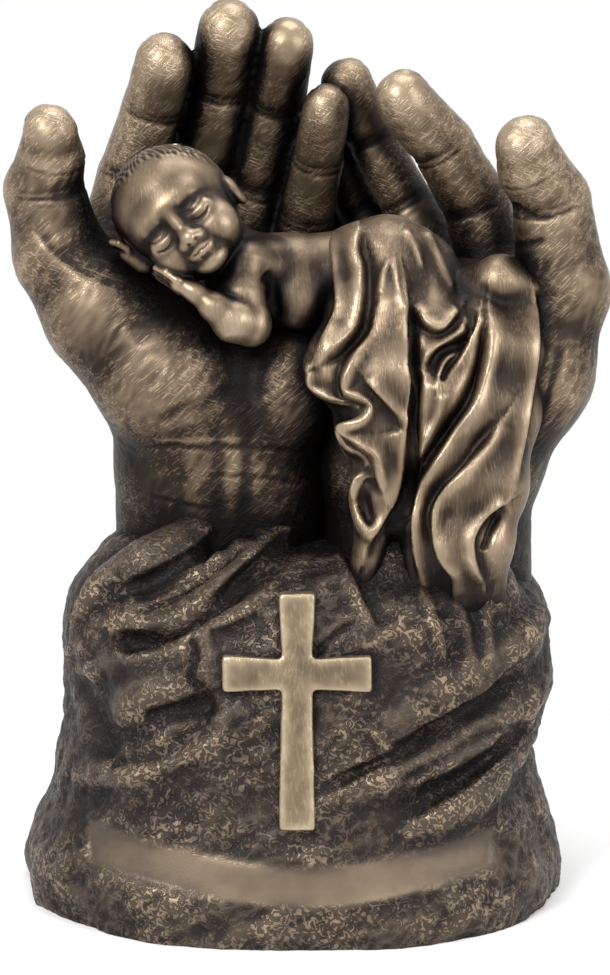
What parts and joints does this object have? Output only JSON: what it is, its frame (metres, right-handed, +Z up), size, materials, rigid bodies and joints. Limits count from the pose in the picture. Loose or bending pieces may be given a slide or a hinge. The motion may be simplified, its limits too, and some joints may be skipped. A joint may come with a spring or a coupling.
{
  "type": "cast figurine of a baby asleep in two cupped hands",
  "caption": "One-piece bronze-look statue: two cupped hands rise from a rock with a plain cross and hold a sleeping baby under a draped cloth.",
  "frame": {"origin": "on the flat underside of the rock, below the middle of the statue's outline", "axes": "+Z up, -Y towards the viewer of the front with the cross, +X to the viewer's right"},
  "size_m": [0.142, 0.1084, 0.2095],
  "materials": {
    "bronze": "dark cold-cast bronze, rubbed warm and bright on the raised places and nearly black in the hollows"
  },
  "bodies": {
    "root": {"statue": "bronze"}
  },
  "joints": []
}
